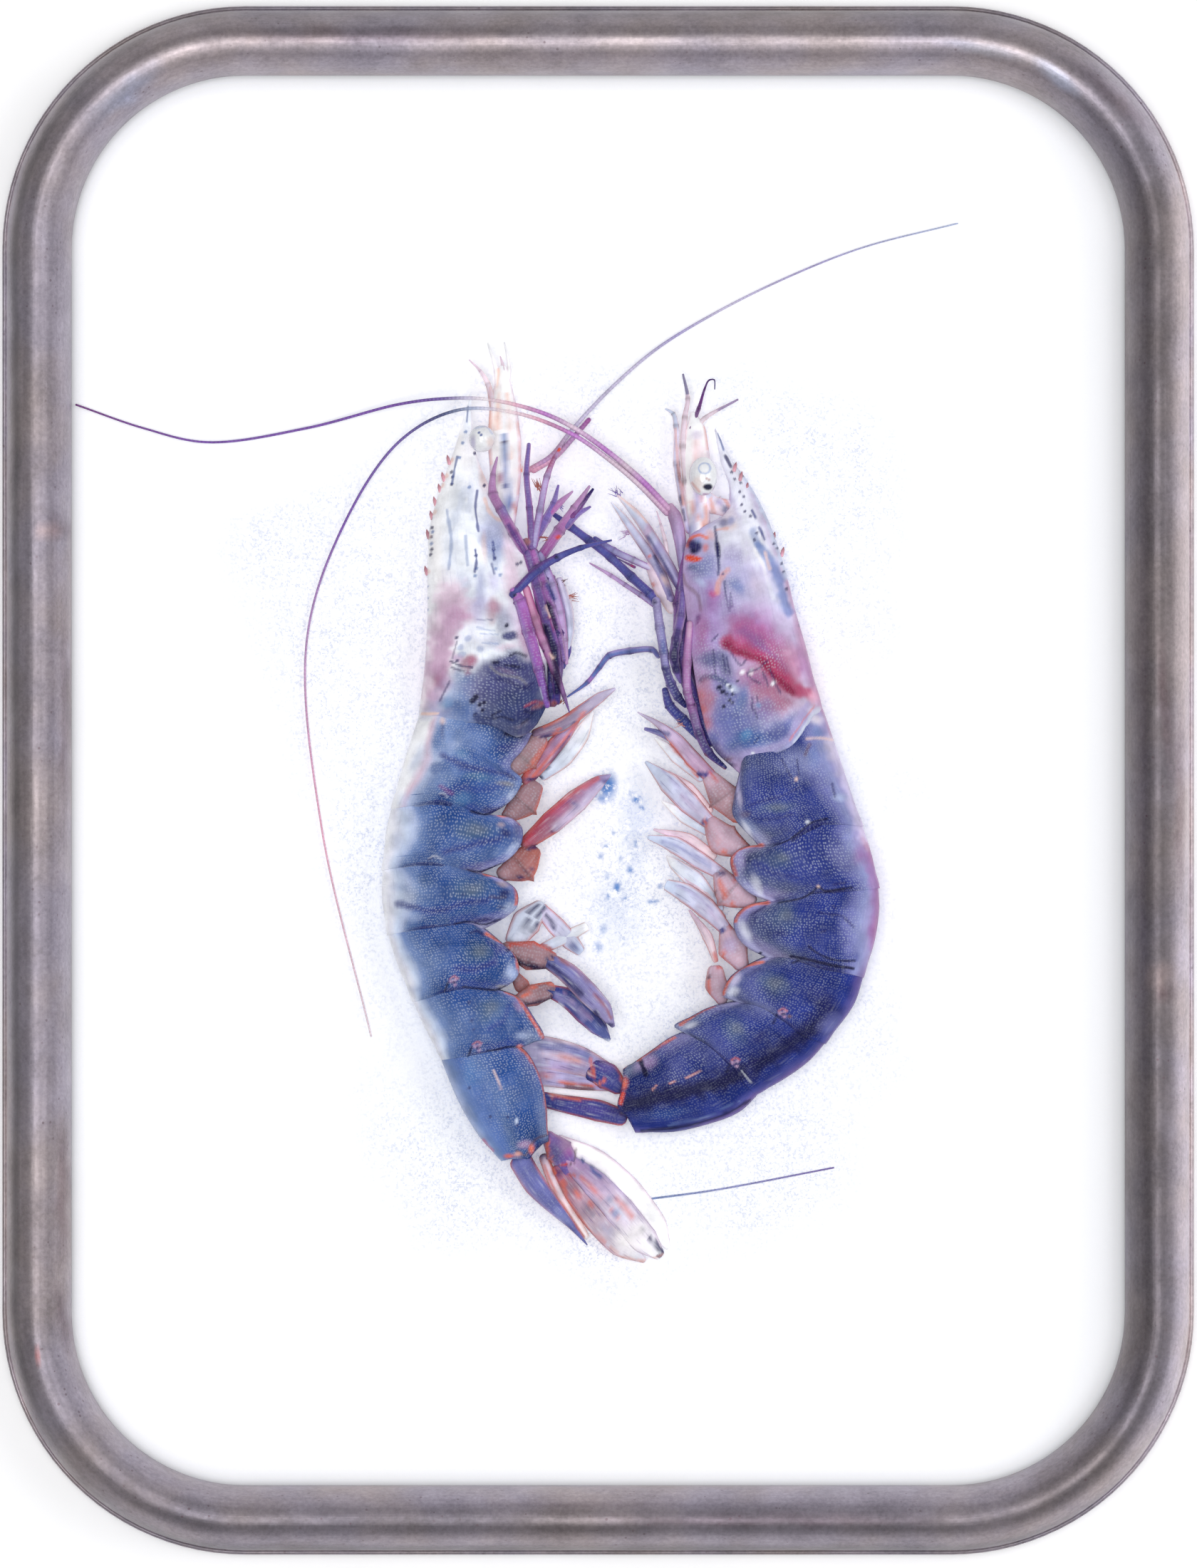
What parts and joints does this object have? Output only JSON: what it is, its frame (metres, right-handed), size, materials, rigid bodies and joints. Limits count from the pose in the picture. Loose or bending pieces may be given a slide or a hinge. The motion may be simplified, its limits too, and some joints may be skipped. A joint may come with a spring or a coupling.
{
  "type": "framed shrimp specimens",
  "caption": "Round-cornered metal frame lying flat around a white board that carries prawn specimens on their sides, head to head, with long antennae.",
  "frame": {"origin": "centre of the back of the frame and board, on the surface that it lies on", "axes": "+Y up the picture, along the longest side; +X to the picture's right; +Z out of the picture, towards the viewer, the shortest extent"},
  "size_m": [0.2036, 0.2646, 0.016],
  "materials": {
    "frame_metal": "aged satin pewter grey, mottled, with a few rust specks",
    "white_board": "matt white card with a faint blue-grey fleck",
    "left_head_shell": null,
    "right_head_shell": null,
    "left_tail_shell": null,
    "right_tail_shell": null,
    "tail_fan": null,
    "eye": null,
    "antenna": null
  },
  "bodies": {
    "root": {"frame": "frame_metal", "board": "white_board", "left_cephalothorax": "left_head_shell", "left_eye": "eye", "left_antenna": "antenna", "left_abdomen_1": "left_tail_shell", "left_abdomen_2": "left_tail_shell", "left_abdomen_3": "left_tail_shell", "left_abdomen_4": "left_tail_shell", "left_abdomen_5": "left_tail_shell", "left_abdomen_6": "left_tail_shell", "left_telson": "left_tail_shell", "left_uropods": "tail_fan", "right_cephalothorax": "right_head_shell", "right_eye": "eye", "right_antennae": "antenna", "right_abdomen_1": "right_tail_shell", "right_abdomen_2": "right_tail_shell", "right_abdomen_3": "right_tail_shell", "right_abdomen_4": "right_tail_shell", "right_abdomen_5": "right_tail_shell", "right_abdomen_6": "right_tail_shell", "right_telson": "right_tail_shell", "right_uropods": "tail_fan", "loose_antenna": "antenna"}
  },
  "joints": []
}
